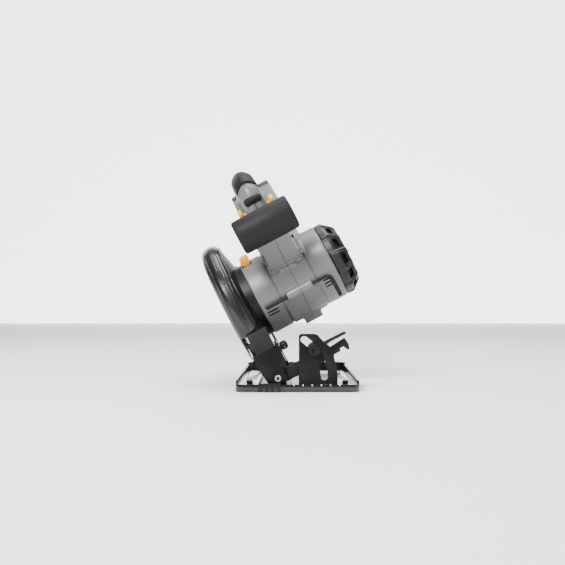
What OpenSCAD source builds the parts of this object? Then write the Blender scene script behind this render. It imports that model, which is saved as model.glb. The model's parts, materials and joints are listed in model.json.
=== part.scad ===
// Cordless circular saw with its blade left of the motor, standing on its shoe.
// Row frame: +Z up, +X towards the motor, -Y is the front. Origin: centre of the sole.

/* [Blade] */
// Diameter of the saw blade
blade_d = 184; // [180:1:184]
// Thickness of the blade across its teeth
kerf = 1.8; // [1.6:0.1:2.0]
// Number of teeth on the blade
tooth_count = 24; // [18:1:40]
// Diameter of the arbor that carries the blade
arbor_d = 15.8; // [12:0.1:15.8]

/* [Shoe] */
// Width of the shoe
shoe_w = 150; // [146:1:160]
// Length of the shoe
shoe_l = 290; // [286:1:300]
// Thickness of the shoe plate
shoe_t = 4; // [3:0.5:4]
// Height of the front lip
front_lip = 9; // [6:0.5:9]
// Height of the side lips
side_lip = 13; // [9:0.5:13]
// Height of the rear lip
rear_lip = 15.5; // [9:0.5:16]

/* [Setting] */
// Bevel angle at which the saw is drawn
rest_bevel = 28; // [0:1:45]
// Angle by which the saw body is raised from full depth
rest_pitch = 39; // [0:1:39]

/* [Motor housing] */
// Radius of the motor housing
motor_r = 51; // [49:0.5:52]
// Wall of the plastic shells
wall = 2.5; // [2:0.25:3]
// Width of the main handle
handle_w = 32; // [30:1:34]
// Diameter of the front handle
grip_d = 43; // [40:1:44]
// Length of the front handle
grip_l = 74.5; // [70:0.5:76]

/* [Gears] */
// Gear module
gear_m = 1.0; // [0.9:0.05:1.0]
// Teeth on the motor pinion
pinion_teeth = 9; // [8:1:10]
// Teeth on the arbor gear
gear_teeth = 44; // [40:1:44]

/* [Hidden] */
$fn = 64;
black = "#1c1c1e";
charcoal = "#333335";
grey = "#88898c";
steel = "#a9abae";
yellow = "#f5b921";

// bevel axis, along Y, on the shoe
bevel_x = -23.7;
bevel_z = 16;
// depth pivot, along the motor axis, on the carriage and in the saw frame
pivot_y = -115;
pivot_w = 31.5;
pivot_p = -114.7;
pivot_q = 17.5;
// blade plane on the carriage
blade_u = -10;
pin_r = 3.97;
bore_r = 4.0;
// clamp bolt of the bevel setting, on the carriage
clamp_u = 55.4;
clamp_w = 9.9;
clamp_radius = sqrt(clamp_u * clamp_u + clamp_w * clamp_w);
clamp_angle = atan2(clamp_w, clamp_u);
// motor axis in the saw frame
centre_distance = gear_m * (pinion_teeth + gear_teeth) / 2;
motor_dir = 122.3;
motor_p = centre_distance * cos(motor_dir);
motor_q = centre_distance * sin(motor_dir);
belly_q = -14;
// stations along the motor axis, from the blade plane
case_x = 29.5;
seam_x = 85;
cap_x = 138;
cap_end = 162.5;
// upper guard section
crown_x = 2;
crown_r = 14;
guard_r = 102;
boss_r = 21.5;
bearing_r = 16;
// front handle
grip_p = -38;
grip_q = 136;
grip_x = 46.5;
// depth clamp bolt in the saw frame
lock_p = 95;
lock_q = -5;
strap_u = 8.5;
lock_radius = norm([lock_p - pivot_p, lock_q - pivot_q]);
lock_angle = atan2(lock_q - pivot_q, lock_p - pivot_p);
battery_p = 122;
battery_q = 6;

// ---------- frames and helpers ----------
module in_carriage() translate([bevel_x, 0, bevel_z]) rotate([0, -rest_bevel, 0]) children();
module in_saw() in_carriage() translate([blade_u, pivot_y, pivot_w]) rotate([rest_pitch, 0, 0])
    translate([0, -pivot_p, -pivot_q]) children();
// disc along X centred at (p, q)
module drum(r, x0, x1, p = 0, q = 0)
    translate([x0, p, q]) rotate([0, 90, 0]) cylinder(r = r, h = x1 - x0);
// (p, q) outline extruded along X
module slab(x0, x1) translate([x0, 0, 0]) rotate([90, 0, 90]) linear_extrude(x1 - x0) children();
// (u, w) outline extruded along Y
module plate(y0, y1) translate([0, y1, 0]) rotate([90, 0, 0]) linear_extrude(y1 - y0) children();
// disc along Y centred at (u, w)
module pin(r, y0, y1, u = 0, w = 0)
    translate([u, y1, w]) rotate([90, 0, 0]) cylinder(r = r, h = y1 - y0);
// [radius, x] outline turned about X, from one angle of the saw frame over a sweep
module turned(from = 0, sweep = 360)
    rotate([0, 90, 0]) rotate([0, 0, from + 90]) rotate_extrude(angle = sweep) children();
module box(x0, x1, y0, y1, z0, z1) translate([x0, y0, z0]) cube([x1 - x0, y1 - y0, z1 - z0]);
module rounded(r) offset(r) offset(-r) children();
function arc(cx, cy, r, a0, a1, n) =
    [for (i = [0 : n]) [cx + r * cos(a0 + (a1 - a0) * i / n), cy + r * sin(a0 + (a1 - a0) * i / n)]];

// ---------- involute gears ----------
function inv(a) = tan(a) * 180 / PI - a;
function flank_angle(r, rb) = r <= rb ? 0 : inv(acos(rb / r));
function tooth(teeth, shift, k) =
    let (rp = gear_m * teeth / 2, rb = rp * cos(20), tip = rp + gear_m * (0.9 + shift),
         root = rp - gear_m * (1.2 - shift),
         half = (gear_m * (PI / 2 + 2 * shift * tan(20)) - 0.14) / (2 * rp) * 180 / PI + inv(20),
         radii = [root, max(root, rb), rp, (rp + tip) / 2, tip])
    concat(
        [for (r = radii) let (a = 360 * k / teeth - half + flank_angle(r, rb)) [r * cos(a), r * sin(a)]],
        [for (i = [4 : -1 : 0]) let (r = radii[i], a = 360 * k / teeth + half - flank_angle(r, rb))
            [r * cos(a), r * sin(a)]]);
module gear_outline(teeth, shift) polygon([for (k = [0 : teeth - 1]) each tooth(teeth, shift, k)]);

// ---------- shoe ----------
rivet_xy = [[-31, -122], [-17, -122], [-31, 117], [-17, 117], [12, -137.8], [26, -137.8], [40, -137.8]];
rivet_top = 6.0;

module shoe_outline(inset = 0)
    offset(r = 8 - inset) square([shoe_w - 16, shoe_l - 16], center = true);

module shoe_lip(height, x0, x1, y0, y1)
    intersection() {
        linear_extrude(height) difference() {
            shoe_outline();
            shoe_outline(2.6);
        }
        box(x0, x1, y0, y1, 0, height);
    }

module shoe_plate() color(black) difference() {
    union() {
        linear_extrude(shoe_t) shoe_outline();
        shoe_lip(front_lip, -90, 90, -160, -100);
        for (s = [-1, 1]) shoe_lip(side_lip, s > 0 ? 40 : -90, s > 0 ? 90 : -40, -134, 140);
        shoe_lip(rear_lip, -90, 90, 130, 160);
        for (s = [-1, 1]) translate([s * 58, -45, 0]) linear_extrude(shoe_t + 1.2)
            offset(r = 3) square([1, 120], center = true);
        for (s = [-1, 1]) box(s * 58 - 8, s * 58 + 8, -138, -124, 0, shoe_t + 4);
    }
    box(-50, -7, -112, 102, -1, 30);
    for (p = rivet_xy) translate([p[0], p[1], -1]) cylinder(r = 2.05, h = 12);
    for (s = [-1, 1]) {
        box(s * 58 - 9, s * 58 + 9, -135, -127, shoe_t - 1, shoe_t + 2);
        translate([s * 58, -131, shoe_t]) cylinder(r = 2.1, h = 10);
    }
}

module foot(x0, x1, y0, y1, top) difference() {
    box(x0, x1, y0, y1, shoe_t, top);
    for (p = rivet_xy) translate([p[0], p[1], 0]) cylinder(r = 2.05, h = 12);
}

module ear(y0, y1) difference() {
    plate(y0, y1) translate([bevel_x, 0]) union() {
        translate([0, bevel_z]) circle(10.2);
        polygon([[-11.5, shoe_t], [11.5, shoe_t], [9.6, bevel_z], [-9.6, bevel_z]]);
    }
    pin(bore_r, y0 - 1, y1 + 1, bevel_x, bevel_z);
}

module front_bevel_ear() color(black) {
    ear(-132.6, -130.2);
    foot(bevel_x - 11.5, bevel_x + 11.5, -130.2, -114, rivet_top);
}

module rear_bevel_ear() color(black) {
    ear(104, 107);
    foot(bevel_x - 11.5, bevel_x + 11.5, 107, 125, rivet_top);
}

module quadrant_outline() difference() {
    rounded(3) polygon(concat([[1.5, 2], [1.5, 69.5], [21, 69.5], [24, 68.6]],
        [[33, 59]], arc(bevel_x, bevel_z, 72.5, 36, 2, 8), [[49.2, 2]]));
    polygon(concat(arc(bevel_x, bevel_z, clamp_radius + 4.35, 1.6, 55.6, 16),
        arc(bevel_x + clamp_radius * cos(55.6), bevel_z + clamp_radius * sin(55.6), 4.35, 55.6, 235.6, 8),
        arc(bevel_x, bevel_z, clamp_radius - 4.35, 55.6, 1.6, 16),
        arc(bevel_x + clamp_radius * cos(1.6), bevel_z + clamp_radius * sin(1.6), 4.35, 181.6, 361.6, 8)));
}

module bevel_quadrant() color(black) {
    intersection() {
        plate(-133.6, -130.6) quadrant_outline();
        box(-10, 90, -140, -120, shoe_t, 90);
    }
    foot(5, 47, -141.6, -133.6, rivet_top);
}

module shoe_rivets() color(steel) for (p = rivet_xy) translate([p[0], p[1], 0.4]) {
    cylinder(r = 2, h = rivet_top - 0.4);
    translate([0, 0, rivet_top - 0.4]) cylinder(r1 = 3.4, r2 = 2.2, h = 1.5);
}

module cut_sight() color(charcoal) translate([bevel_x - 10, 0, 0]) difference() {
    box(-13.5, 13.5, -147.6, -145, 0.3, 10.5);
    for (x = [-8.5, -1.5, 5.5]) box(x, x + 3, -149, -144, -1, 4.5);
    for (x = [-10.5, -3.5, 3.5, 9.5]) box(x, x + 1.6, -149, -146.6, 6.5, 12);
}

module fence_clamp_screws() color(black) for (s = [-1, 1]) translate([s * 58, -131, 0]) {
    translate([0, 0, shoe_t + 2.2]) cylinder(r = 2, h = 4);
    translate([0, 0, shoe_t + 4.1]) cylinder(r = 3.8, h = 5, $fn = 6);
}

// ---------- carriage ----------
bracket_left = -15;
bracket_right = 18.3;
sheet = 2.8;

module bracket_face() difference() {
    rounded(1.5) polygon(concat([[bracket_left, 37], [-16.4, 24], [-13.8, 0.3]],
        arc(0, 0, 11.6, 205, 322, 10), [[12, 10], [15.3, 7.5], [17.4, 21], [18.9, 23], [18.3, 37]]));
    circle(4.1);
}

module cheek(u0) translate([u0, 0, 0]) rotate([90, 0, 90]) linear_extrude(sheet) difference() {
    rounded(2) polygon([[-133.2, 13], [-133.2, 37], [-120, 41.5], [-110, 41.5], [-104.6, 36],
        [-104.6, 24], [-112, 14]]);
    translate([pivot_y, pivot_w]) circle(4.05);
}

module pivot_bracket() color(black) in_carriage() {
    plate(-136, -133.2) bracket_face();
    cheek(bracket_left);
    cheek(bracket_right - sheet);
}

module bevel_arm() color(black) in_carriage() {
    difference() {
        union() {
            plate(-129.8, -126.9) {
                circle(9);
                polygon([[-12.2, 13.5], [-12.2, 34], [15.5, 34], [15.5, 13.5], [14, 6.5], [73.2, 6.5],
                    [73.2, -9.3], [9, -9.3], [0, 0]]);
                translate([clamp_u, clamp_w]) circle(9);
            }
            plate(-127.3, -121) polygon([[69, -7.4], [69, 3], [94.4, 4.9], [95.4, -4.1],
                [93.4, -10.8], [90.6, -9.6], [88.4, -4.2], [83.6, -4], [82.7, -7.4]]);
        }
        pin(bore_r, -131, -120);
        pin(3.85, -131, -120, clamp_u, clamp_w);
    }
}

module bevel_pivot_bolt() color("silver") in_carriage() {
    pin(pin_r, -140.4, -121.6);
    difference() {
        pin(7, -140, -136, $fn = 6);
        pin(pin_r - 0.01, -141, -135);
    }
    difference() {
        pin(6.5, -126.9, -122.4, $fn = 6);
        pin(pin_r - 0.01, -128, -121);
    }
}

module rear_pivot_pin() color(steel) in_carriage() {
    pin(pin_r, 98, 110.5);
    pin(6, 107.4, 110);
}

module bevel_clamp_bolt() color(black) in_carriage() difference() {
    union() {
        pin(3.8, -134, -117.4, clamp_u, clamp_w);
        pin(8.2, -136.6, -133.9, clamp_u, clamp_w);
        pin(6.4, -139.4, -136.6, clamp_u, clamp_w);
    }
    pin(3.6, -140, -137.2, clamp_u, clamp_w, $fn = 6);
}

module clamp_washer() color(steel) in_carriage() difference() {
    pin(8, -126.9, -125.7, clamp_u, clamp_w);
    pin(3.85, -128, -124, clamp_u, clamp_w);
}

module depth_pivot_bolt() color(black) in_carriage() translate([0, pivot_y, pivot_w]) {
    drum(pin_r, -18.6, 20);
    translate([bracket_right, 0, 0]) rotate([0, 90, 0]) cylinder(r = 5.6, h = 9, $fn = 6);
    drum(6.2, bracket_right, 20.2);
    translate([-18.8, 0, 0]) rotate([0, 90, 0]) cylinder(r = 5.4, h = 3.8, $fn = 6);
}

strap_half = 8;
strap_from = -8.5;
strap_to = lock_angle + rest_pitch + 2.6;
module depth_strap() color(black) in_carriage() difference() {
    union() {
        translate([strap_u, 0, 0]) rotate([90, 0, 90]) linear_extrude(3) translate([pivot_y, pivot_w])
            difference() {
                polygon(concat(arc(0, 0, lock_radius + strap_half, strap_from, strap_to, 24),
                    arc(0, 0, lock_radius - strap_half, strap_to, strap_from, 24)));
                polygon(concat(arc(0, 0, lock_radius + 4.2, lock_angle - 1, strap_to - 1.2, 24),
                    arc(0, 0, lock_radius - 4.2, strap_to - 1.2, lock_angle - 1, 24)));
            }
        box(strap_u, strap_u + 3, 90, 100, -6, 4.4);
        plate(99.9, 103.6) {
            circle(8.6);
            polygon([[-7, 5], [11.5, 12], [11.5, -6], [0, -8.6]]);
        }
    }
    pin(pin_r + 0.04, 99, 104);
}

module bevel_lever() color(black) in_carriage() difference() {
    union() {
        pin(7.5, -125.4, -118.4, clamp_u, clamp_w);
        plate(-124.6, -119.4) polygon([[clamp_u, clamp_w - 4.6], [clamp_u, clamp_w + 4.6], [70, 12.6],
            [97, 11.9], [99, 10.4], [98.6, 8.2], [78, 8.2], [70, 7.4]]);
    }
    pin(3.86, -127, -117, clamp_u, clamp_w);
}

// ---------- guards ----------
module guard_section() difference() {
    polygon(concat([[34, -12]], [for (p = arc(crown_r, 0, crown_r, 180, 90, 8)) [88 + p[1], -12 + p[0]]],
        [[101, 7.5], [98.6, 12], [94, 14.5], [88, 12], [boss_r - 2, 12], [boss_r - 2, 9.5], [34, 9.5]]));
    polygon(concat([[30, -10]], [for (p = arc(12, 0, 12, 180, 90, 8)) [88 + p[1], -10 + p[0]]],
        [[99, 6.5], [96.6, 9.4], [33.9, 9.4], [30, 9.4]]));
}

module guard_shell() difference() {
    intersection() {
        turned(-8, 188) guard_section();
        box(-14, 18, -131, 122, -2, 123);
    }
    // front mouth, closed only by the outboard skirt
    turned(158, 40) polygon([[61, -9.9], [110, -9.9], [110, 9.45], [61, 9.45]]);
}

module upper_guard() color(black) in_saw() difference() {
    union() {
        guard_shell();
        drum(25.2, 9.7, 11.9);
        drum(boss_r, 5, 11.95);
        slab(10.3, 18.2) translate([lock_p - 2.6, lock_q + 1]) circle(6.6);
        slab(-1.6, 24.6) {
            translate([pivot_p, pivot_q]) circle(9);
            polygon([[pivot_p - 6.3, pivot_q + 6.3], [-97, 43], [-87.6, 36.6], [-96.2, 14],
                [pivot_p + 4, pivot_q - 7.8]]);
        }
    }
    // way for the lower guard through the front lug
    turned(130, 80) polygon([[64, -9.2], [86, -9.2], [96.5, -4], [98.5, 2], [98.5, 6], [96.2, 9.3], [64, 9.3]]);
    drum(bearing_r + 0.01, 4, 13);
    drum(bore_r, -3, 26, pivot_p, pivot_q);
    drum(3.2, 8, 19, lock_p, lock_q);
    drum(5.3, 5, 9.6, lock_p, lock_q);
}

module gear_case() color(black) in_saw() difference() {
    union() {
        turned(-2, 174) polygon([[87.6, 12.02], [93.4, 14.8], [61, 22.5], [60, case_x], [20, case_x], [20, 12.02]]);
        drum(25.2, 12.2, case_x - 0.1);
        intersection() {
            drum(49.5, 14.1, case_x - 0.05, motor_p, motor_q);
            box(0, 200, -200, 200, belly_q, 200);
        }
    }
    turned(4, 162) polygon([[46, 12], [84, 12], [84, 13.5], [58, 19.6], [57, 27], [46, 27]]);
    drum(bearing_r + 0.01, 12, 14.1);
    drum(9, 13, 16);
    drum(23.6, 15, 23.2);
    drum(6.4, 14.6, 24.1, motor_p, motor_q);
    drum(11.01, 23.8, 30);
    drum(11.01, 24, 30, motor_p, motor_q);
    drum(9, 23, 24, 0, 0);
    drum(9.5, 11, 30, lock_p, lock_q);
}

module sector(r, from, sweep) polygon(concat([[0, 0]], arc(0, 0, r, from, from + sweep, 24)));

module lower_guard() color(steel) in_saw() difference() {
    union() {
        turned(165, 190) difference() {
            polygon(concat([[60, -8.3]], [for (p = arc(9.8, 0, 9.8, 180, 90, 6)) [86 + p[1], -8.3 + p[0]]],
                [[95.8, 5], [93, 8], [84, 8], [84, 6.4], [60, 6.4]]));
            polygon(concat([[59, -6.7]], [for (p = arc(8.2, 0, 8.2, 180, 90, 6)) [86 + p[1], -6.7 + p[0]]],
                [[94.2, 4.4], [92.4, 6.4], [83, 6.4], [83, 9], [59, 9]]));
        }
        slab(6.5, 7.9) {
            sector(88, 165.2, 189.6);
            circle(25.6);
        }
    }
    drum(boss_r + 0.06, 4, 12);
}

module guard_spring() color(steel) in_saw() {
    turns = 2.25;
    steps = 54;
    pitch = 1.9;
    pts = [for (i = [0 : steps]) let (a = 360 * turns * i / steps, r = 24 + pitch * turns * i / steps)
        [(r) * cos(a), (r) * sin(a)]];
    back = [for (i = [steps : -1 : 0]) let (a = 360 * turns * i / steps, r = 24.9 + pitch * turns * i / steps)
        [(r) * cos(a), (r) * sin(a)]];
    slab(8.3, 9.2) polygon(concat(pts, back));
}

module guard_bumper() color(charcoal) in_saw() turned(160.4, 4) polygon([[70, -9.9], [80, -9.9], [80, -6.9], [70, -6.9]]);

module depth_lock_bolt() color(steel) in_saw() {
    drum(3.16, 9.3, 38.6, lock_p, lock_q);
    drum(5, 8.4, 9.4, lock_p, lock_q);
}

module depth_lever() color(black) in_saw() difference() {
    union() {
        drum(7, 21.9, 38, lock_p, lock_q);
        slab(32.6, 37.8) polygon([[lock_p, lock_q + 5.4], [lock_p - 40, lock_q + 4.4], [lock_p - 45, lock_q + 1],
            [lock_p - 46, lock_q - 3], [lock_p - 41, lock_q - 5], [lock_p, lock_q - 5.4]]);
    }
    drum(3.2, 20, 40, lock_p, lock_q);
}

// ---------- motor housing and handles ----------
// outer loop of the main handle, over the top from front to back, and its underside
loop_top = [[12, 96], [12.5, 118], [17.6, 133], [24, 145], [33.5, 152.5], [45, 156.5], [60, 156.5],
    [80, 149], [99, 138], [125, 124], [146, 105], [166, 81], [181, 62], [190, 52.5]];
window = [[48, 112], [54, 119], [66, 120], [92, 109], [112, 98], [130, 79], [136, 66], [131, 59.5],
    [60, 59.5], [50, 66], [45, 84]];
skin = 4;
// the top outline moved inwards by the skin's thickness
function normal_at(p, i) = let (a = p[max(i - 1, 0)], b = p[min(i + 1, len(p) - 1)], d = b - a)
    [d[1], -d[0]] / norm(d);
function inward(p, t, i0, i1) = [for (i = [i0 : i1]) p[i] + t * normal_at(p, i)];
skin_from = 4;
skin_to = 12;

module handle_loop(inset = 0) offset(delta = -inset) difference() {
    polygon(concat([for (i = [0 : skin_from - 1]) loop_top[i]], inward(loop_top, skin, skin_from, skin_to),
        [loop_top[13], [190, battery_q + 42.4], [40, battery_q + 42.4], [8, 60]]));
    polygon(window);
}

module overmould_outline() polygon(concat([for (i = [skin_from : skin_to]) loop_top[i]],
    [for (i = [skin_to : -1 : skin_from]) loop_top[i] + (skin - 0.02) * normal_at(loop_top, i)]));

module motor_drum(x0, x1, r, inset = 0) intersection() {
    drum(r, x0, x1, motor_p, motor_q);
    box(0, 200, -200, 200, belly_q + inset, 200);
}

module pedestal(x0, x1, inset = 0) slab(x0, x1) polygon([[-40 + inset, 66], [-51 + inset, grip_q - 8],
    [-25 - inset, grip_q - 8], [-4 - inset, 66]]);

// direction of the pill boss about the motor axis
pill_dir = 122;
key_r = 56.2;
key_dir = 158.5;
key_p = motor_p + key_r * cos(key_dir);
key_q = motor_q + key_r * sin(key_dir);
down_p = -sin(rest_pitch);
down_q = -cos(rest_pitch);

module housing_outer(x0, x1) intersection() {
    union() {
        motor_drum(case_x, 57, motor_r);
        motor_drum(57, 59, motor_r - 1.2);
        motor_drum(59, 109, motor_r + 1);
        motor_drum(109, 111, motor_r - 1.2);
        motor_drum(111, cap_x, motor_r - 0.4);
        pedestal(64, 105);
        drum(14.6, grip_x + 4, grip_x + grip_l - 4, grip_p, grip_q);
        slab(seam_x - handle_w / 2, seam_x + handle_w / 2) handle_loop();
        // battery foot and the bridge behind the motor
        slab(60, 120) polygon([[4, 34], [10, 62], [118, 60], [150, 56.5], [188, 52], [188, battery_q + 42.4], [118, battery_q + 42.4],
            [116, 8], [20, 2]]);
        // boss over the hex key
        drum(7.2, 66, 102, key_p + 1.5, key_q - 0.5);
        // pill boss on the front
        pill(71.5, 96.5, 4.4);
        // foot pad under the front of the belly
        slab(72, 97) polygon([[-57, -19], [-55, -22], [-37, -22], [-35, -13], [-52, -8.5], [-55.5, -11]]);
    }
    box(x0, x1, -200, 300, -100, 300);
}

module pill(x0, x1, r) translate([0, motor_p, motor_q]) rotate([pill_dir, 0, 0]) {
    translate([0, motor_r - 0.4, 0]) rotate([0, 90, 0]) translate([0, 0, x0 + r]) cylinder(r = r, h = x1 - x0 - 2 * r);
    for (x = [x0 + r, x1 - r]) translate([x, motor_r - 0.4, 0]) sphere(r = r);
}

module housing_inner(x0, x1) {
    motor_drum(max(x0, case_x - 1), min(x1, cap_x + 1), motor_r - 1.2 - wall, wall);
    slab(max(x0, 72), min(x1, 98)) handle_loop(3);
    slab(max(x0, 63), min(x1, 117)) polygon([[20, 30], [22, 45], [112, 45], [112, 12], [36, 8]]);
    drum(3.2, 40, 140, key_p, key_q);
    // room for the trigger and its travel
    box(76.4, 93.6, 57, 92.6, 100, 128);
    // lock-off bar through the neck
    slab(60, 110) translate([40, 112]) square([9, 13], center = true);
}

module housing_left() color(grey) in_saw() difference() {
    housing_outer(case_x + 0.02, seam_x - 0.02);
    housing_inner(case_x - 2, seam_x + 1);
    translate([38.6, motor_p, motor_q]) rotate([-30, 0, 0]) cylinder(r = 6.6, h = 80);
    drum(25.8, 28, 31.5);
    for (i = [0 : 1]) vent(34, 46, 152.5 - 4 * i);
}

module housing_right() color(grey) in_saw() difference() {
    housing_outer(seam_x + 0.02, cap_x);
    housing_inner(seam_x - 1, cap_x + 2);
    for (i = [0 : 1]) vent(116, 128, 152.5 - 4 * i);
}

// slot through the motor wall at one angle about the motor axis
module vent(x0, x1, angle) translate([x0, motor_p, motor_q]) rotate([angle, 0, 0]) box(0, x1 - x0, 44, 60, -0.9, 0.9);

module motor_end_cap() color(black) in_saw() difference() {
    intersection() {
        translate([0, motor_p, motor_q]) turned() polygon([[0, cap_x + 0.02], [48.6, cap_x + 0.02], [48.6, 148.6], [37, 161.5],
            [34, cap_end], [0, cap_end]]);
        box(0, 200, -200, 200, belly_q, 200);
    }
    translate([0, motor_p, motor_q]) turned() polygon([[11.5, cap_x - 1], [45.8, cap_x - 1], [45.8, 147.6], [35, 159.4],
        [11.5, 159.4]]);
    drum(11.01, 136, 151, motor_p, motor_q);
    for (k = [0 : 11]) translate([0, motor_p, motor_q]) rotate([k * 30, 0, 0]) box(143, 153, -2.2, 2.2, 34, 60);
    for (k = [0 : 7]) translate([0, motor_p, motor_q]) rotate([k * 45, 0, 0]) box(155, 170, -1.5, 1.5, 16, 27);
}

module front_grip() color(charcoal) in_saw() difference() {
    translate([0, grip_p, grip_q]) turned() polygon(concat([[0, grip_x]],
        [for (p = arc(grip_d / 2 - 3, grip_x + 3, 3, -90, 0, 5)) p],
        [for (p = arc(grip_d / 2 - 3, grip_x + grip_l - 3, 3, 0, 90, 5)) p], [[0, grip_x + grip_l]]));
    drum(14.62, grip_x + 3.9, grip_x + grip_l - 3.9, grip_p, grip_q);
    pedestal(63.9, 105.1, -0.1);
}

module handle_overmould() color(charcoal) in_saw()
    slab(seam_x - handle_w / 2, seam_x + handle_w / 2) overmould_outline();

module trigger() color(black) in_saw() slab(78, 92) rounded(1.5)
    polygon([[60, 122.2], [59.6, 108], [64, 102.5], [72, 100.5], [84, 103], [90, 108.4], [89, 113.4], [84, 117.6]]);

module lock_off_paddles() color(yellow) in_saw() {
    slab(seam_x - 20, seam_x + 20) translate([40, 112]) square([6, 5], center = true);
    for (s = [-1, 1]) slab(s > 0 ? seam_x + 20 : seam_x - 25.5, s > 0 ? seam_x + 25.5 : seam_x - 20)
        rounded(2) translate([39, 114]) square([13, 15], center = true);
}

module spindle_lock_button() color(yellow) in_saw() translate([38.6, motor_p, motor_q]) rotate([-30, 0, 0]) {
    translate([0, 0, 49.6]) cylinder(r = 6.3, h = 10);
    translate([0, 0, 43.6]) cylinder(r = 3, h = 6.2);
    translate([0, 0, 59.5]) cylinder(r1 = 6.3, r2 = 5.2, h = 1.1);
}

// ---------- drive ----------
module ring(ro, ri, x0, x1, p = 0, q = 0) difference() {
    drum(ro, x0, x1, p, q);
    drum(ri, x0 - 1, x1 + 1, p, q);
}

module stator() color("#6b4a2c") in_saw() ring(31, 20.5, 52, 100, motor_p, motor_q);
module arbor_bearing() color(steel) in_saw() ring(bearing_r, arbor_d / 2 + 0.02, 5.2, 13.9);
module rear_arbor_bearing() color(steel) in_saw() ring(11, 4.02, 24.2, 29.3);
module front_motor_bearing() color(steel) in_saw() ring(11, 4.02, 24.4, 29.3, motor_p, motor_q);
module rear_motor_bearing() color(steel) in_saw() ring(11, 4.02, 143, 150, motor_p, motor_q);
module control_board() color("darkgreen") in_saw() ring(32.6, 12, 103, 104.6, motor_p, motor_q);
module switch_module() color(black) in_saw() box(79, 91, 62, 82, 126.5, 136);
module battery_terminals() color(steel) in_saw() for (x = [80, 88, 96]) box(x, x + 1.2, 96, 108, 20, 40);

screw_points = [[26, 80], [24, 127], [92, 126], [150, 84]];
module housing_screws() color(steel) in_saw() for (s = screw_points)
    drum(3, seam_x + handle_w / 2 + 0.02, seam_x + handle_w / 2 + 1.6, s[0], s[1]);

module end_cap_screws() color(steel) in_saw() for (a = [50, 140, 220, 320])
    drum(2.8, cap_end + 0.01, cap_end + 1.4, motor_p + 31 * cos(a), motor_q + 31 * sin(a));

module rotor_shaft() color(steel) in_saw() {
    drum(4, 23.6, 149, motor_p, motor_q);
    translate([0, motor_p, motor_q]) slab(15.2, 23.6) rotate(motor_dir + 180 + 180 / pinion_teeth)
        gear_outline(pinion_teeth, 0.4);
}
module rotor_core() color("#55565a") in_saw() ring(19.8, 4.02, 54, 98, motor_p, motor_q);
module cooling_fan() color(black) in_saw() {
    ring(12, 4.02, 108, 122, motor_p, motor_q);
    ring(32, 11.9, 108, 110, motor_p, motor_q);
    for (k = [0 : 15]) translate([0, motor_p, motor_q]) rotate([k * 22.5, 0, 0]) box(109.9, 121, 11.5, 31.4, -0.8, 0.8);
}

module arbor_shaft() color(steel) in_saw() {
    drum(arbor_d / 2, -0.6, 15.6);
    drum(4, 15.5, 29.2);
}
module spur_gear() color(steel) in_saw() difference() {
    slab(15.7, 22.8) rotate(motor_dir) gear_outline(gear_teeth, -0.4);
    drum(4.02, 14, 24);
}
module inner_flange() color(steel) in_saw() difference() {
    drum(20, 0.9, 4.4);
    drum(arbor_d / 2 + 0.02, -1, 6);
}
module outer_flange() color(steel) in_saw() difference() {
    drum(20, -4, -0.9);
    drum(4.05, -5, 0);
}
module blade_bolt() color(steel) in_saw() {
    drum(4, -4, -0.62);
    translate([-9, 0, 0]) rotate([0, 90, 0]) cylinder(r = 7.5, h = 5, $fn = 6);
}
module saw_blade() color("silver") in_saw() difference() {
    slab(-kerf / 2 + 0.02, kerf / 2 - 0.02) difference() {
        polygon([for (k = [0 : tooth_count - 1]) let (a = 360 / tooth_count, b = -k * a, r = blade_d / 2)
            each [[r * cos(b), r * sin(b)], [(r - 3) * cos(b - a * 0.34), (r - 3) * sin(b - a * 0.34)],
                [(r - 6) * cos(b - a * 0.5), (r - 6) * sin(b - a * 0.5)],
                [(r - 11) * cos(b - a * 0.72), (r - 11) * sin(b - a * 0.72)],
                [(r - 10) * cos(b - a * 0.9), (r - 10) * sin(b - a * 0.9)]]]);
        for (k = [0 : 3]) rotate(k * 90 + 20) translate([76, -0.6]) square([30, 1.2]);
    }
    drum(arbor_d / 2 + 0.03, -2, 2);
}

// ---------- battery and key ----------
module battery_case() color(black) in_saw() difference() {
    slab(60, 122) polygon([[battery_p, battery_q + 4], [battery_p + 5, battery_q], [battery_p + 96, battery_q],
        [battery_p + 100, battery_q + 5], [battery_p + 98, battery_q + 34], [battery_p + 74, battery_q + 42],
        [battery_p, battery_q + 42]]);
    slab(63, 119) polygon([[battery_p + 3, battery_q + 6], [battery_p + 7, battery_q + 3], [battery_p + 93, battery_q + 3],
        [battery_p + 96, battery_q + 7], [battery_p + 94, battery_q + 31], [battery_p + 73, battery_q + 38],
        [battery_p + 3, battery_q + 38]]);
}
module battery_cells() color("teal") in_saw() for (k = [0 : 3])
    drum(9.2, 66, 116, battery_p + 16 + k * 20.5, battery_q + 16);
module battery_latch() color(charcoal) in_saw() box(78, 104, battery_p + 100.4, battery_p + 104, battery_q + 10, battery_q + 24);

module hex_key() color(black) in_saw() {
    drum(2.5, 35, 129.5, key_p, key_q);
    translate([127, key_p, key_q]) rotate([180 - rest_pitch, 0, 0]) translate([0, 0, -1]) cylinder(r = 2.5, h = 31);
}

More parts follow.
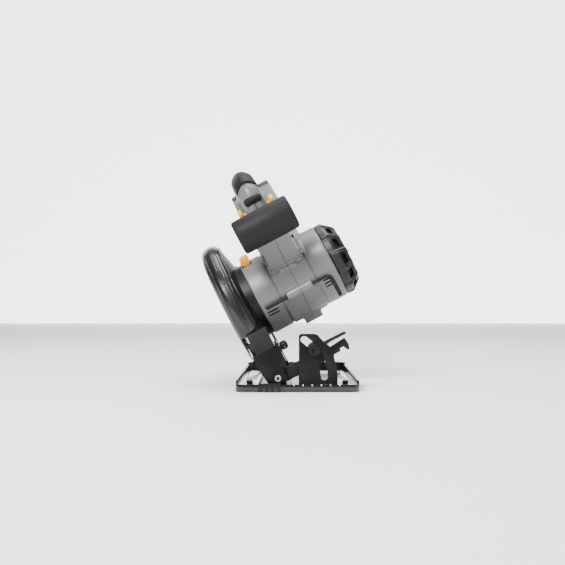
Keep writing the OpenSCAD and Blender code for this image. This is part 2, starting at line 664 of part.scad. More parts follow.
shoe_plate();
front_bevel_ear();
rear_bevel_ear();
bevel_quadrant();
shoe_rivets();
cut_sight();
fence_clamp_screws();
pivot_bracket();
bevel_arm();
bevel_pivot_bolt();
rear_pivot_pin();
bevel_clamp_bolt();
clamp_washer();
depth_pivot_bolt();
depth_strap();
bevel_lever();
upper_guard();
gear_case();
housing_left();
housing_right();
motor_end_cap();
front_grip();
handle_overmould();
stator();
arbor_bearing();
rear_arbor_bearing();
front_motor_bearing();
rear_motor_bearing();
control_board();
switch_module();
battery_terminals();
housing_screws();
end_cap_screws();
guard_spring();
guard_bumper();
depth_lock_bolt();
rotor_shaft();
rotor_core();
cooling_fan();
arbor_shaft();
spur_gear();
inner_flange();
outer_flange();
blade_bolt();
saw_blade();
lower_guard();
trigger();
lock_off_paddles();
spindle_lock_button();
depth_lever();
battery_case();
battery_cells();
battery_latch();
hex_key();
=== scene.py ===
"""Looks for the circular saw: detailed shells, grips and guards, materials, light and camera."""
import json
import math

import bmesh
import bpy
from mathutils import Matrix, Vector

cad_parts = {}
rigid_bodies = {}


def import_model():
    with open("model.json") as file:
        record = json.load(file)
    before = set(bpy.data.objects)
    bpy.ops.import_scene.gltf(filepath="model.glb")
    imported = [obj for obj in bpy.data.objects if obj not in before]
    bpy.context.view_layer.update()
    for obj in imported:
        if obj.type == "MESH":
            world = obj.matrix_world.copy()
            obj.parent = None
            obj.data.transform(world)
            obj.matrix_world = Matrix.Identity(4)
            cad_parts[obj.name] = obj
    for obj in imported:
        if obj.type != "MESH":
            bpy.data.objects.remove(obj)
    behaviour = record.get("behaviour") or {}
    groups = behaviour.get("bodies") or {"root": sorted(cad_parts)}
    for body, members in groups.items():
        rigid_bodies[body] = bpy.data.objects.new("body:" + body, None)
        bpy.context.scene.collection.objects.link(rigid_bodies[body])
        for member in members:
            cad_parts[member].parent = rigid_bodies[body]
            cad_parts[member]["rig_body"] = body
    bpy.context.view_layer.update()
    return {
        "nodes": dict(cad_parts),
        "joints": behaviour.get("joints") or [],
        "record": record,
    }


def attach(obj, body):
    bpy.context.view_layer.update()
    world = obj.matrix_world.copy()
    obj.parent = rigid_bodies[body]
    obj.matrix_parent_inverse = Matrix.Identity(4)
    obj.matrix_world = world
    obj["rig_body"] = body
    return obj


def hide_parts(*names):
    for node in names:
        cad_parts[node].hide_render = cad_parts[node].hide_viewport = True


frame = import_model()
nodes = frame["nodes"]
joints = {j["name"]: j for j in frame["joints"]}
MM = 0.001

# ---------------------------------------------------------------- frames
# The saw frame: x along the motor axis from the blade plane, p to the back, q up, in mm.
X_AXIS = Vector(joints["blade_spin"]["axis"]).normalized()
P_AXIS = Vector(joints["battery_slide"]["axis"]).normalized()
Q_AXIS = X_AXIS.cross(P_AXIS)
BLADE = Vector(joints["blade_spin"]["pos_m"])
# The carriage frame: u along the motor axis, y to the back, w up along the blade plane, in mm.
U_AXIS = -Vector(joints["depth"]["axis"]).normalized()
Y_AXIS = Vector((0, 1, 0))
W_AXIS = U_AXIS.cross(Y_AXIS)
BEVEL = Vector(joints["bevel"]["pos_m"])


def frame_matrix(a, b, c, origin):
    m = Matrix((a, b, c)).transposed().to_4x4() @ Matrix.Scale(MM, 4)
    m.translation = origin
    return m


SAW = frame_matrix(X_AXIS, P_AXIS, Q_AXIS, BLADE)
CARRIAGE = frame_matrix(U_AXIS, Y_AXIS, W_AXIS, BEVEL)
# The shoe stands square in the frame.
SHOE = Matrix.Scale(MM, 4)
MOTOR = SAW.inverted() @ Vector(joints["motor_spin"]["pos_m"])
MOTOR_P, MOTOR_Q = MOTOR.y, MOTOR.z


# ---------------------------------------------------------------- materials
class Finish:
    """A procedural material: colour mottling, grain bump and uneven gloss."""

    def __init__(self, name, colour, rough, metallic=0.0, coat=0.0, specular=0.5):
        self.mat = bpy.data.materials.new(name)
        self.mat.use_nodes = True
        self.tree = self.mat.node_tree
        self.bsdf = self.tree.nodes["Principled BSDF"]
        self.mat.diffuse_color = (*colour, 1)
        self.bsdf.inputs["Metallic"].default_value = metallic
        self.bsdf.inputs["Coat Weight"].default_value = coat
        self.bsdf.inputs["Coat Roughness"].default_value = 0.08
        self.bsdf.inputs["Specular IOR Level"].default_value = specular
        self.bsdf.inputs["Base Color"].default_value = (*colour, 1)
        self.bsdf.inputs["Roughness"].default_value = rough
        self.colour, self.rough = colour, rough
        coords = self.new("ShaderNodeTexCoord")
        self.coords = coords.outputs["Object"]
        self.height = None

    def new(self, kind):
        return self.tree.nodes.new(kind)

    def link(self, a, b):
        self.tree.links.new(a, b)

    def noise(self, scale, detail=3.0, stretch=None):
        n = self.new("ShaderNodeTexNoise")
        n.inputs["Scale"].default_value = scale
        n.inputs["Detail"].default_value = detail
        vec = self.coords
        if stretch:
            m = self.new("ShaderNodeMapping")
            m.inputs["Scale"].default_value = stretch
            self.link(vec, m.inputs["Vector"])
            vec = m.outputs["Vector"]
        self.link(vec, n.inputs["Vector"])
        return n.outputs["Fac"]

    def mottle(self, scale, amount, stretch=None):
        """Colour drifting a little lighter and darker."""
        ramp = self.new("ShaderNodeValToRGB")
        dark = [c * (1 - amount) for c in self.colour]
        light = [min(1, c * (1 + amount) + 0.002) for c in self.colour]
        ramp.color_ramp.elements[0].position = 0.35
        ramp.color_ramp.elements[1].position = 0.65
        ramp.color_ramp.elements[0].color = (*dark, 1)
        ramp.color_ramp.elements[1].color = (*light, 1)
        self.link(self.noise(scale, 4, stretch), ramp.inputs["Fac"])
        self.link(ramp.outputs["Color"], self.bsdf.inputs["Base Color"])
        return self

    def uneven(self, scale, spread, stretch=None):
        """Roughness that varies like handling marks or moulding."""
        m = self.new("ShaderNodeMapRange")
        m.inputs["From Min"].default_value = 0.3
        m.inputs["From Max"].default_value = 0.7
        m.inputs["To Min"].default_value = max(0.02, self.rough - spread)
        m.inputs["To Max"].default_value = self.rough + spread
        self.link(self.noise(scale, 5, stretch), m.inputs["Value"])
        self.link(m.outputs["Result"], self.bsdf.inputs["Roughness"])
        return self

    def bump(self, height, strength, distance):
        b = self.new("ShaderNodeBump")
        b.inputs["Strength"].default_value = strength
        b.inputs["Distance"].default_value = distance
        self.link(height, b.inputs["Height"])
        if self.height:
            self.link(self.height, b.inputs["Normal"])
        self.height = b.outputs["Normal"]
        self.link(self.height, self.bsdf.inputs["Normal"])
        return self

    def grain(self, scale, strength, distance=0.0002, stretch=None):
        return self.bump(self.noise(scale, 2, stretch), strength, distance)

    def cells(self, scale, strength, distance=0.0003):
        v = self.new("ShaderNodeTexVoronoi")
        v.inputs["Scale"].default_value = scale
        self.link(self.coords, v.inputs["Vector"])
        return self.bump(v.outputs["Distance"], strength, distance)


def grey_plastic():
    return (Finish("grey_plastic", (0.125, 0.125, 0.13), 0.36).mottle(9, 0.05).uneven(26, 0.07)
            .grain(1500, 0.16).mat)


def black_plastic():
    return (Finish("black_plastic", (0.008, 0.008, 0.009), 0.38, specular=0.3).mottle(12, 0.15)
            .uneven(30, 0.08).grain(1400, 0.2).mat)


def soft_rubber():
    return (Finish("soft_rubber", (0.011, 0.011, 0.012), 0.55, specular=0.12).mottle(10, 0.12)
            .uneven(22, 0.08).cells(900, 0.25).mat)


def cast_black():
    return (Finish("cast_black", (0.005, 0.005, 0.0055), 0.27, coat=0.1, specular=0.45).mottle(8, 0.2)
            .uneven(18, 0.06).grain(260, 0.05, 0.0004).mat)


def powder_black():
    return (Finish("powder_black", (0.004, 0.004, 0.0045), 0.4, specular=0.2).mottle(14, 0.2).uneven(24, 0.08)
            .grain(900, 0.12).mat)


def shoe_black():
    return (Finish("shoe_black", (0.006, 0.006, 0.0065), 0.2, coat=0.3).mottle(10, 0.2).uneven(20, 0.05)
            .grain(500, 0.04).mat)


def yellow_plastic():
    return (Finish("yellow_plastic", (0.82, 0.38, 0.0), 0.36, specular=0.3).mottle(40, 0.05)
            .uneven(40, 0.06).grain(1500, 0.1).mat)


def bright_steel():
    return (Finish("bright_steel", (0.55, 0.55, 0.57), 0.28, metallic=1).mottle(30, 0.08)
            .uneven(60, 0.08, (1, 1, 12)).grain(700, 0.08, stretch=(1, 1, 14)).mat)


def guard_aluminium():
    return (Finish("guard_aluminium", (0.07, 0.07, 0.073), 0.42, metallic=0.3, specular=0.3).mottle(18, 0.08)
            .uneven(30, 0.07).grain(500, 0.06).mat)


def dark_steel():
    return (Finish("dark_tool_steel", (0.008, 0.008, 0.0085), 0.3, specular=0.4).mottle(40, 0.2)
            .uneven(50, 0.1).grain(900, 0.1).mat)


def copper():
    return (Finish("copper_winding", (0.55, 0.26, 0.12), 0.35, metallic=0.9).mottle(60, 0.2)
            .grain(400, 0.5, stretch=(8, 1, 1)).mat)


def iron():
    return (Finish("motor_iron", (0.2, 0.2, 0.21), 0.45, metallic=0.9).mottle(30, 0.1)
            .grain(300, 0.3, stretch=(20, 1, 1)).mat)


def board_green():
    return Finish("board", (0.02, 0.14, 0.05), 0.3).mottle(120, 0.25).cells(220, 0.2).mat


def cell_wrap():
    return Finish("cell_wrap", (0.02, 0.26, 0.3), 0.25).mottle(40, 0.05).grain(200, 0.05).mat


def white_paint():
    return Finish("white_paint", (0.8, 0.8, 0.78), 0.5).mottle(60, 0.05).mat


FINISHES = {
    "grey_plastic": grey_plastic(), "black_plastic": black_plastic(), "soft_rubber": soft_rubber(),
    "cast_black": cast_black(), "black_steel": powder_black(), "shoe_black": shoe_black(),
    "yellow_plastic": yellow_plastic(), "bright_steel": bright_steel(), "guard_aluminium": guard_aluminium(),
    "dark_tool_steel": dark_steel(), "copper_winding": copper(), "motor_iron": iron(), "board": board_green(),
    "cell_wrap": cell_wrap(), "white_paint": white_paint(),
}
SLOTS = {s["node"]: s["material_slot"] for s in frame["record"]["subparts"]}
# nodes that look otherwise than their slot
LOOK = {"shoe_plate": "shoe_black", "gear_case": "black_steel"}


def dress(obj, finish):
    obj.data.materials.clear()
    obj.data.materials.append(FINISHES[finish])
    return obj


# ---------------------------------------------------------------- mesh helpers
def smooth(mesh, angle=32):
    for f in mesh.polygons:
        f.use_smooth = True
    mesh.set_sharp_from_angle(angle=math.radians(angle))


def new_object(name, bm, matrix=None):
    mesh = bpy.data.meshes.new(name)
    bmesh.ops.recalc_face_normals(bm, faces=bm.faces)
    bm.to_mesh(mesh)
    bm.free()
    if matrix is not None:
        mesh.transform(matrix)
    obj = bpy.data.objects.new(name, mesh)
    bpy.context.scene.collection.objects.link(obj)
    return obj


def apply_modifiers(obj):
    deps = bpy.context.evaluated_depsgraph_get()
    mesh = bpy.data.meshes.new_from_object(obj.evaluated_get(deps))
    obj.modifiers.clear()
    old = obj.data
    obj.data = mesh
    mesh.name = obj.name
    bpy.data.meshes.remove(old)
    return obj


def add_piece(obj, node, finish, angle=32):
    """The piece is added beside a node, on its body and in its slot."""
    smooth(obj.data, angle)
    dress(obj, finish)
    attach(obj, nodes[node]["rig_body"])


def finish_piece(obj, node, finish=None, angle=32):
    """The piece takes a node's place, body and slot."""
    add_piece(obj, node, finish or LOOK.get(node, SLOTS[node]), angle)
    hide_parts(node)


def softened(node, width):
    """A CAD node with its hard edges broken, as pressed, cast or moulded edges are."""
    bm = bmesh.new()
    bm.from_mesh(nodes[node].data)
    bmesh.ops.remove_doubles(bm, verts=bm.verts, dist=2e-6)
    bmesh.ops.dissolve_limit(bm, angle_limit=math.radians(0.6), verts=bm.verts, edges=bm.edges)
    obj = new_object(node + "_skin", bm)
    mod = obj.modifiers.new("edges", "BEVEL")
    mod.width = width * MM
    mod.segments = 2
    mod.limit_method = "ANGLE"
    mod.angle_limit = math.radians(30)
    mod.use_clamp_overlap = True
    mod.miter_outer = "MITER_ARC"
    apply_modifiers(obj)
    finish_piece(obj, node)


for name, obj in nodes.items():
    dress(obj, LOOK.get(name, SLOTS[name]))
    smooth(obj.data)

# ---------------------------------------------------------------- building blocks in a local frame, mm
def turned_profile(bm, outline, centre_p, centre_q, steps=96, start=0.0, sweep=360.0):
    """Closed (x, radius) outline turned about the x direction; a part turn is capped."""
    full = abs(sweep - 360) < 1e-6
    rings = []
    for k in range(steps + (0 if full else 1)):
        a = math.radians(start + sweep * k / steps)
        rings.append([bm.verts.new((x, centre_p + r * math.cos(a), centre_q + r * math.sin(a)))
                      for x, r in outline])
    count = len(outline)
    for k in range(len(rings) if full else len(rings) - 1):
        a, b = rings[k], rings[(k + 1) % len(rings)]
        for i in range(count):
            j = (i + 1) % count
            bm.faces.new((a[i], a[j], b[j], b[i]))
    if not full:
        bm.faces.new(rings[0])
        bm.faces.new(list(reversed(rings[-1])))


def rounded_polygon(points, radius, steps=4):
    """Corners of a closed 2D outline replaced by short arcs."""
    out = []
    n = len(points)
    for i in range(n):
        a, b, c = Vector(points[i - 1]), Vector(points[i]), Vector(points[(i + 1) % n])
        to_a, to_c = a - b, c - b
        cut = min(radius, to_a.length * 0.45, to_c.length * 0.45)
        p0, p1 = b + to_a.normalized() * cut, b + to_c.normalized() * cut
        for k in range(steps + 1):
            t = k / steps
            out.append(tuple(p0 * (1 - t) ** 2 + b * 2 * t * (1 - t) + p1 * t * t))
    return out


def prism(bm, outline, x0, x1):
    """A (p, q) outline from x0 to x1."""
    low = [bm.verts.new((x0, p, q)) for p, q in outline]
    high = [bm.verts.new((x1, p, q)) for p, q in outline]
    n = len(outline)
    bm.faces.new(list(reversed(low)))
    bm.faces.new(high)
    for i in range(n):
        j = (i + 1) % n
        bm.faces.new((low[i], low[j], high[j], high[i]))


def block(bm, x0, x1, p0, p1, q0, q1):
    prism(bm, [(p0, q0), (p1, q0), (p1, q1), (p0, q1)], x0, x1)


def superellipse(c, power):
    return math.copysign(abs(c) ** power, c)


def tube(bm, path, sizes, sides=32, power=0.78, taper=0.0, wide=(1, 0, 0)):
    """A closed tube along points with (half width, half height) at each; its outer side narrows by taper."""
    wide = Vector(wide)
    rings = []
    for i, c in enumerate(path):
        along = (Vector(path[min(i + 1, len(path) - 1)]) - Vector(path[max(i - 1, 0)])).normalized()
        side = (wide - along * wide.dot(along)).normalized()
        up = along.cross(side)
        ring = []
        for k in range(sides):
            a = 2 * math.pi * (k + 0.5) / sides
            width = sizes[i][0] * (1 - taper * max(0, math.sin(a)) ** 1.5)
            ring.append(bm.verts.new(Vector(c) + side * width * superellipse(math.cos(a), power)
                                     + up * sizes[i][1] * superellipse(math.sin(a), power)))
        rings.append(ring)
    for a, b in zip(rings, rings[1:]):
        for k in range(sides):
            j = (k + 1) % sides
            bm.faces.new((a[k], a[j], b[j], b[k]))
    bm.faces.new(list(reversed(rings[0])))
    bm.faces.new(rings[-1])


def rod(bm, x0, x1, r, p, q, steps=48):
    turned_profile(bm, [(x0, 0), (x0, r), (x1, r), (x1, 0)], p, q, steps)


def spoke(bm, outline, half, angle, p, q):
    """An (x, radius) outline, 2 x half thick, standing out from an axis at an angle."""
    a = math.radians(angle)
    out, across = Vector((0, math.cos(a), math.sin(a))), Vector((0, -math.sin(a), math.cos(a)))
    base = Vector((0, p, q))
    sides = [[bm.verts.new(base + Vector((x, 0, 0)) + out * r + across * h) for x, r in outline]
             for h in (-half, half)]
    bm.faces.new(list(reversed(sides[0])))
    bm.faces.new(sides[1])
    for i in range(len(outline)):
        j = (i + 1) % len(outline)
        bm.faces.new((sides[0][i], sides[0][j], sides[1][j], sides[1][i]))


def catmull(points, steps=6):
    """A smooth curve through points."""
    pts = [Vector(p) for p in points]
    out = []
    for i in range(len(pts) - 1):
        p0, p1, p2, p3 = pts[max(i - 1, 0)], pts[i], pts[i + 1], pts[min(i + 2, len(pts) - 1)]
        for k in range(steps):
            t = k / steps
            out.append(0.5 * ((2 * p1) + (p2 - p0) * t + (2 * p0 - 5 * p1 + 4 * p2 - p3) * t * t
                              + (3 * p1 - p0 - 3 * p2 + p3) * t ** 3))
    return out + [pts[-1]]


def fused(name, bm, voxel, relax):
    """Overlapping closed solids melted into one skin with soft, moulded edges."""
    obj = new_object(name, bm)
    mod = obj.modifiers.new("melt", "REMESH")
    mod.mode = "VOXEL"
    mod.voxel_size = voxel
    apply_modifiers(obj)
    mod = obj.modifiers.new("relax", "SMOOTH")
    mod.factor = 0.5
    mod.iterations = relax
    apply_modifiers(obj)
    return obj


def carve(obj, bm):
    """Cuts the solids in bm out of obj. Both are closed, in the same local frame."""
    cutter = new_object(obj.name + "_cut", bm)
    mod = obj.modifiers.new("cut", "BOOLEAN")
    mod.operation = "DIFFERENCE"
    mod.solver = "MANIFOLD"
    mod.object = cutter
    apply_modifiers(obj)
    bpy.data.objects.remove(cutter)


def copy_of(obj, name):
    twin = bpy.data.objects.new(name, obj.data.copy())
    bpy.context.scene.collection.objects.link(twin)
    return twin


def keep_between(obj, x0, x1):
    """Cuts away everything past x0 and x1."""
    for ends in ((-FAR, x0), (x1, FAR)):
        cutter = bmesh.new()
        block(cutter, *ends, -FAR, FAR, -FAR, FAR)
        carve(obj, cutter)


# ---------------------------------------------------------------- motor housing
BELLY_Q = -14.0          # flat underside of the housing
CASE_X, SEAM_X, CAP_X = 29.65, 85.0, 138.0
SEAM_GAP = 0.6
BORE_R = 47.3            # inside of the motor housing
GRIP_P, GRIP_Q = -38.0, 136.0
FAR = 300                # past everything
KEY_R, KEY_ANGLE = 56.2, 158.5
KEY_P = MOTOR_P + KEY_R * math.cos(math.radians(KEY_ANGLE))
KEY_Q = MOTOR_Q + KEY_R * math.sin(math.radians(KEY_ANGLE))


def on_motor(outline, steps=128, belly=BELLY_Q):
    """A turned body about the motor axis with the flat belly."""
    bm = bmesh.new()
    turned_profile(bm, outline, MOTOR_P, MOTOR_Q, steps)
    for v in bm.verts:
        v.co.z = max(v.co.z, belly)
    return bm


# centre line of the main handle, from the battery foot over the top and down the front leg:
# p, q, half width, half height
HANDLE = [(172, 44, 22, 20), (168, 58, 19, 18), (160, 74, 16.5, 16), (146, 91, 15.5, 14.5),
          (125, 107, 15, 13.5), (99, 121.5, 14.8, 13.2), (78, 131.5, 14.6, 13.6), (60, 136.5, 14.6, 14.4),
          (46, 136.5, 14.8, 15), (35.5, 128, 15.2, 15), (31, 112, 15.6, 15.5), (29.5, 92, 16, 17),
          (27, 60, 17, 19)]


def handle_tube(bm, first, last, outward, grow, taper):
    """The handle between two of its points, moved outward and grown."""
    pts = catmull([(SEAM_X, p, q) for p, q, _, _ in HANDLE[first:last]], 6)
    sizes = catmull([(w, h, 0) for _, _, w, h in HANDLE[first:last]], 6)
    path = []
    for i, c in enumerate(pts):
        along = (pts[min(i + 1, len(pts) - 1)] - pts[max(i - 1, 0)]).normalized()
        path.append(c + along.cross(Vector((1, 0, 0))) * outward)
    tube(bm, path, [(v.x + grow, v.y + grow) for v in sizes], 40, 0.82, taper)


def button_arc(bm, half_width, half_height, start, end):
    """A rounded bar round the motor housing, where the spindle lock button is."""
    path = [(38.6, MOTOR_P + 54.6 * math.cos(math.radians(a)), MOTOR_Q + 54.6 * math.sin(math.radians(a)))
            for a in range(start, end)]
    tube(bm, path, [(half_width, half_height)] * len(path), 40, 0.7)


def housing_solid():
    """Everything grey, still in one piece and solid."""
    bm = on_motor([(CASE_X, 0), (CASE_X, 50.2), (30.6, 51), (58.4, 51), (58.8, 52), (109.2, 52),
                   (109.8, 50.6), (137, 50.6), (CAP_X, 49.8), (CAP_X, 0)])
    handle_tube(bm, 0, len(HANDLE), 0, 0, 0.42)
    # pedestal of the front grip, with its shoulders on the motor
    prism(bm, [(-36, 60), (-44, 76), (-50, GRIP_Q - 8), (-26, GRIP_Q - 8), (-12, 84), (-2, 60)], 64, 105)
    prism(bm, [(-30, 62), (-40.5, 74), (-42, 81), (-20, 86), (-4, 62)], 60.5, 112)
    rod(bm, 50.5, 117, 14.5, GRIP_P, GRIP_Q)
    # battery foot and the bridge behind the motor
    prism(bm, rounded_polygon([(4, 34), (10, 62), (118, 60), (150, 56.5), (188, 52), (188, 48.3), (118, 48.3),
                               (116, 8), (20, 2)], 6), 60, 120)
    # boss over the hex key, pill boss and the pad under the belly
    rod(bm, 66, 102, 7.0, KEY_P + 1.5, KEY_Q - 0.5)
    a = math.radians(122)
    pill = (MOTOR_P + 51.8 * math.cos(a), MOTOR_Q + 51.8 * math.sin(a))
    tube(bm, [(x, *pill) for x in (71.2, 72.4, 74.6, 93.4, 95.6, 96.8)],
         [(r, r) for r in (1.8, 3.6, 4.6, 4.6, 3.6, 1.8)], 24, 1.0, wide=(0, 1, 0))
    prism(bm, rounded_polygon([(-57, -19), (-55, -22), (-37, -22), (-35, -13), (-48, -4), (-55.5, -11)], 2),
          72, 97)
    return bm


body = fused("housing", housing_solid(), 1.15, 3)
cuts = on_motor([(25, 0), (25, BORE_R), (145, BORE_R), (145, 0)], 96, BELLY_Q + 2.5)
for x in (58.6, 109.9):
    turned_profile(cuts, [(x - 1, 49.6), (x - 2, 55), (x + 2, 55), (x + 1, 49.6)], MOTOR_P, MOTOR_Q, 128)
carve(body, cuts)
cuts = bmesh.new()
rod(cuts, 28, 140, 3.3, KEY_P, KEY_Q, 24)
block(cuts, 76.4, 93.6, 57, 92.6, 96, 128)
for x0, x1, angles in ((34, 49, (168, 173.5)), (116, 129, (164.5, 170, 175.5))):
    for angle in angles:
        spoke(cuts, [(x0, 45), (x0, 56), (x1, 56), (x1, 45)], 1.15, angle, MOTOR_P, MOTOR_Q)
button_arc(cuts, 6.9, 11, 51, 83)
carve(body, cuts)
for node, cut_away in (("housing_left", (SEAM_X - SEAM_GAP / 2, FAR)),
                       ("housing_right", (-FAR, SEAM_X + SEAM_GAP / 2))):
    half = copy_of(body, node + "_shell")
    cutter = bmesh.new()
    block(cutter, *cut_away, -FAR, FAR, -FAR, FAR)
    carve(half, cutter)
    half.data.transform(SAW)
    finish_piece(half, node, "grey_plastic", 40)
# the lip seen in the gap; its faces are split first, or the inset would close the handle's window
lip = copy_of(body, "housing_seam_lip")
keep_between(lip, SEAM_X - 1, SEAM_X + 1)
lip.modifiers.new("triangles", "TRIANGULATE")
mod = lip.modifiers.new("inset", "DISPLACE")
mod.strength = -0.7
mod.mid_level = 0
apply_modifiers(lip)
lip.data.transform(SAW)
add_piece(lip, "housing_left", "black_plastic")
bpy.data.objects.remove(body)

bm = bmesh.new()
handle_tube(bm, 2, 9, 3.2, 0.5, 0.4)
overmould = fused("handle_overmould_skin", bm, 1.0, 3)
cutter = bmesh.new()
block(cutter, 75, 95, 50, 98, 90, 129)
carve(overmould, cutter)
overmould.data.transform(SAW)
finish_piece(overmould, "handle_overmould", "soft_rubber", 50)

# rubber pad low on the front of the handle's curve
bm = bmesh.new()
tube(bm, [(x, 26 + 3 * abs(x - SEAM_X) / 11, 136.5 - 2.5 * abs(x - SEAM_X) / 11) for x in range(74, 97)],
     [(r, r) for r in [3.5, 4.6, 5.2] + [5.6] * 17 + [5.2, 4.6, 3.5]], 24, 1.0, wide=(0, 1, 0))
add_piece(new_object("handle_pad", bm, SAW), "handle_overmould", "soft_rubber")

# recessed screws with a shallow round dimple in the head, down the right side of the handle
bm = bmesh.new()
for i in (3, 5, 7, 10):
    p, q, w, _ = HANDLE[i]
    face = SEAM_X + w
    turned_profile(bm, [(face - 3, 0), (face - 3, 3), (face + 0.1, 3), (face + 0.5, 2.4), (face + 0.6, 0.9),
                        (face - 0.6, 0.7), (face - 0.6, 0)], p, q, 32)
    turned_profile(bm, [(face - 2, 3.0), (face - 2, 4.2), (face + 0.15, 4.2), (face + 0.15, 3.4)], p, q, 32)
finish_piece(new_object("housing_screw_heads", bm, SAW), "housing_screws", "dark_tool_steel", 30)

# moulded ribs on the sides and end of the battery
bm = bmesh.new()
for k in range(5):
    for x in (59.5, 122.1):
        block(bm, x, x + 0.4, 172 + k * 7, 175 + k * 7, 12, 36)
for k in range(3):
    block(bm, 66 + k * 19, 79 + k * 19, 150, 152.4, 5.6, 6.1)
add_piece(new_object("battery_ribs", bm, SAW), "battery_case", "black_plastic")

# spindle lock button, a rounded bar
bm = bmesh.new()
button_arc(bm, 6.3, 6.0, 55, 78)
button = fused("spindle_lock_cap", bm, 0.5, 3)
button.data.transform(SAW)
finish_piece(button, "spindle_lock_button", "yellow_plastic", 40)

# rolled beads round the blade guard
bm = bmesh.new()
for x, r, thick in ((14.2, 95.4, 1.0), (10.0, 99.9, 0.9), (4.6, 102.0, 0.8), (-5.6, 99.4, 0.8)):
    path = [(x, r * math.cos(math.radians(a)), r * math.sin(math.radians(a))) for a in range(0, 156, 3)]
    tube(bm, path, [(thick, thick)] * len(path), 12, 1.0)
add_piece(new_object("guard_beads", bm, SAW), "upper_guard", "cast_black")

# front grip: a barrel with rounded rims
bm = bmesh.new()
turned_profile(bm, [(46.5, 15), (46.5, 18.6), (47.0, 20.2), (48.2, 21.2), (50, 21.5), (83, 21.7),
                    (117.5, 21.5), (119.3, 21.2), (120.5, 20.2), (121, 18.6), (121, 15), (119.5, 14.6),
                    (48, 14.6)], GRIP_P, GRIP_Q, 96)
for x in (46.5, 120.2):
    rod(bm, x + 0.3, x + 0.5, 15.2, GRIP_P, GRIP_Q)
finish_piece(new_object("front_grip_skin", bm, SAW), "front_grip", "soft_rubber", 35)

# motor end cap: chamfered drum with ribs, a panel and vents
CAP_RIBS = 12
bm = on_motor([(CAP_X + 0.05, 0), (CAP_X + 0.05, 48.9), (147, 48.9), (149, 48), (160.6, 38),
               (162.0, 35.6), (162.4, 32), (162.4, 0)])
for k in range(CAP_RIBS):
    spoke(bm, [(139.5, 44), (139.5, 50.4), (148.6, 50.4), (161.4, 39.6), (162.6, 36), (162.6, 30)], 1.7,
          k * 360 / CAP_RIBS + 15, MOTOR_P, MOTOR_Q)
spoke(bm, [(139.4, 44), (139.4, 51.4), (149.6, 51.4), (152, 47), (152, 40)], 11.5, 150, MOTOR_P, MOTOR_Q)
for v in bm.verts:
    v.co.z = max(v.co.z, BELLY_Q)
cap = fused("motor_end_cap_skin", bm, 0.9, 1)
cuts = on_motor([(137, 0), (137, 45.8), (146.6, 45.8), (158, 35.4), (159.4, 31), (159.4, 0)], 96,
                BELLY_Q + 2.5)
for k in range(CAP_RIBS):
    spoke(cuts, [(150.4, 30), (150.4, 60), (156.8, 60), (156.8, 30)], 6.4, k * 360 / CAP_RIBS,
          MOTOR_P, MOTOR_Q)
for k in range(8):
    spoke(cuts, [(157, 15), (157, 27), (168, 27), (168, 15)], 1.5, k * 45, MOTOR_P, MOTOR_Q)
carve(cap, cuts)
cap.data.transform(SAW)
finish_piece(cap, "motor_end_cap", "black_plastic", 40)

# hex key bent from one bar, its short arm hanging down
KEY_BEND = 7
down = (SAW.inverted().to_3x3() @ -W_AXIS).normalized()
bm = bmesh.new()
key = [Vector((35, KEY_P, KEY_Q)), Vector((118, KEY_P, KEY_Q))]
corner = Vector((127, KEY_P, KEY_Q))
for k in range(1, 9):
    a = math.radians(k * 90 / 9)
    key.append(corner - Vector((KEY_BEND, 0, 0)) + down * KEY_BEND
               + Vector((KEY_BEND * math.sin(a), 0, 0)) - down * KEY_BEND * math.cos(a))
key += [corner + down * KEY_BEND, corner + down * 30]
tube(bm, key, [(2.5, 2.5)] * len(key), 6, 1.0, wide=(0.001, -down.z, down.y))
finish_piece(new_object("hex_key_bar", bm, SAW), "hex_key", "dark_tool_steel", 25)

# fluted knob on the depth pivot, its bolt and a hexagonal head behind
PIVOT_Y, PIVOT_W = -115, 31.5
bm = bmesh.new()
knob = [(18.4, 0), (18.4, 4.4), (20, 4.6), (21.2, 5.2), (23.5, 5.8), (26, 5.7), (28, 4.8), (29.2, 3),
        (29.4, 0)]
turned_profile(bm, knob, PIVOT_Y, PIVOT_W, 60)
for i, v in enumerate(bm.verts):
    if i // len(knob) % 5 == 0 and i % len(knob) > 2:
        v.co.y += (PIVOT_Y - v.co.y) * 0.14
        v.co.z += (PIVOT_W - v.co.z) * 0.14
rod(bm, 18.4, 19.8, 6.3, PIVOT_Y, PIVOT_W)
rod(bm, -18.6, 19, 3.97, PIVOT_Y, PIVOT_W)
rod(bm, -18.8, -15.1, 5.2, PIVOT_Y, PIVOT_W, 6)
finish_piece(new_object("depth_pivot_knob", bm, CARRIAGE), "depth_pivot_bolt", "dark_tool_steel", 30)

# bevel pivot: a dark flanged nut each side of a bright bolt with a socket in its end
bm = bmesh.new()
for y0, y1, r in ((-140, -136.05, 6.9), (-126.85, -122.5, 6.4)):
    ring = [(r * math.cos(a), r * math.sin(a)) for a in (math.pi / 3 * k for k in range(6))]
    front = [bm.verts.new((u, y0, w)) for u, w in ring]
    back = [bm.verts.new((u, y1, w)) for u, w in ring]
    bm.faces.new(front)
    bm.faces.new(list(reversed(back)))
    for i in range(6):
        bm.faces.new((front[i], back[i], back[(i + 1) % 6], front[(i + 1) % 6]))
finish_piece(new_object("bevel_pivot_nuts", bm, CARRIAGE), "bevel_pivot_bolt", "black_steel", 20)
bm = bmesh.new()
profile = [(-122, 0), (-122, 3.95), (-140.2, 3.95), (-140.9, 3.4), (-140.9, 2.2), (-138.4, 2.0), (-138.4, 0)]
rings = [[bm.verts.new((r * math.cos(a), y, r * math.sin(a))) for y, r in profile]
         for a in (2 * math.pi * k / 48 for k in range(48))]
for a, b in zip(rings, rings[1:] + rings[:1]):
    for i in range(len(profile) - 1):
        bm.faces.new((a[i], a[i + 1], b[i + 1], b[i]))
bmesh.ops.remove_doubles(bm, verts=bm.verts, dist=1e-6)
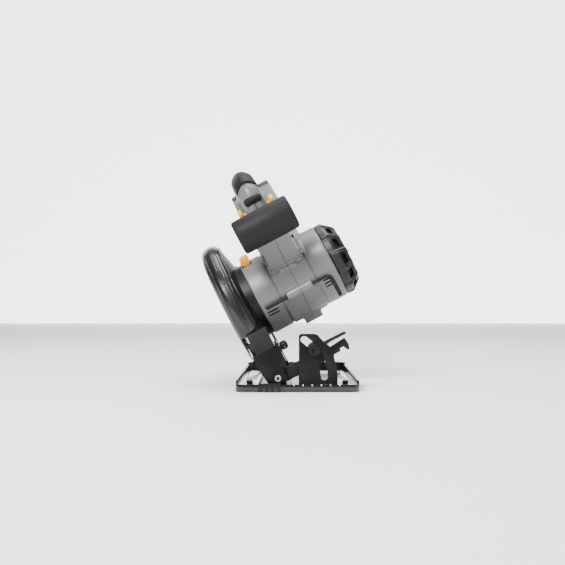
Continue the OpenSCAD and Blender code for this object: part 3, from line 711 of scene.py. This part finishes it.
finish_piece(new_object("bevel_pivot_bolt_skin", bm, CARRIAGE), "bevel_pivot_bolt", "bright_steel", 30)

# broken edges on the pressed, cast and moulded parts, by bevel width
for node, width in (("shoe_plate", 0.5), ("bevel_quadrant", 0.5), ("front_bevel_ear", 0.5),
                    ("rear_bevel_ear", 0.5), ("pivot_bracket", 0.5), ("bevel_arm", 0.45),
                    ("bevel_lever", 0.6), ("depth_strap", 0.4), ("depth_lever", 1.0), ("battery_case", 1.6),
                    ("battery_latch", 0.5), ("lock_off_paddles", 1.2), ("trigger", 1.2), ("cut_sight", 0.3),
                    ("bevel_clamp_bolt", 0.5), ("fence_clamp_screws", 0.4), ("blade_bolt", 0.5)):
    softened(node, width)

# scale ticks along the front lip
bm = bmesh.new()
for x in range(-5, 52, 11):
    block(bm, x, x + 1.2, -145, -143.4, 8.9, 9.12)
    block(bm, x, x + 1.2, -145.14, -144.9, 7.4, 9.1)
add_piece(new_object("scale_ticks", bm, SHOE), "shoe_plate", "white_paint")

# ---------------------------------------------------------------- stage, light, camera
def area_light(name, place, target, size, power):
    data = bpy.data.lights.new(name, "AREA")
    data.shape = "RECTANGLE"
    data.size, data.size_y = size
    data.energy = power
    data.spread = math.radians(180)
    obj = bpy.data.objects.new(name, data)
    bpy.context.scene.collection.objects.link(obj)
    obj.location = place
    obj.rotation_euler = (Vector(target) - Vector(place)).to_track_quat("-Z", "Y").to_euler()


def stage():
    bm = bmesh.new()
    bmesh.ops.create_grid(bm, x_segments=2, y_segments=2, size=6)
    floor = new_object("floor", bm)
    floor.location.z = -0.0002
    mat = Finish("pale_floor", (0.9, 0.9, 0.9), 0.85, specular=0.1).mottle(3, 0.01).mat
    floor.data.materials.append(mat)
    bm = bmesh.new()
    bmesh.ops.create_grid(bm, x_segments=2, y_segments=2, size=1.9)
    wall = new_object("backdrop", bm)
    wall.location = (0, 3.2, 0)
    wall.rotation_euler.x = math.radians(90)
    glow = bpy.data.materials.new("lit_backdrop")
    glow.use_nodes = True
    shader = glow.node_tree.nodes["Principled BSDF"]
    shader.inputs["Emission Color"].default_value = (1, 1, 1, 1)
    shader.inputs["Emission Strength"].default_value = 3.2
    wall.data.materials.append(glow)
    world = bpy.data.worlds.new("studio")
    bpy.context.scene.world = world
    world.use_nodes = True
    world.node_tree.nodes["Background"].inputs["Color"].default_value = (1, 1, 1, 1)
    world.node_tree.nodes["Background"].inputs["Strength"].default_value = 0.3
    area_light("key", (-0.75, -1.3, 1.25), (0, 0, 0.15), (0.6, 0.6), 66)
    area_light("fill", (1.5, -0.9, 0.6), (0, 0, 0.15), (0.5, 1.0), 9)
    area_light("top", (0, 0.3, 1.9), (0, 0, 0.1), (1.4, 1.4), 60)


def camera():
    data = bpy.data.cameras.new("camera")
    data.lens = 51.5
    data.sensor_width = 36
    data.shift_x = -0.0186
    data.shift_y = 0.0363
    cam = bpy.data.objects.new("camera", data)
    bpy.context.scene.collection.objects.link(cam)
    cam.location = (-0.0055, -1.115, 0.107)
    cam.rotation_euler = (math.radians(90), 0, 0)
    bpy.context.scene.camera = cam


camera()
stage()
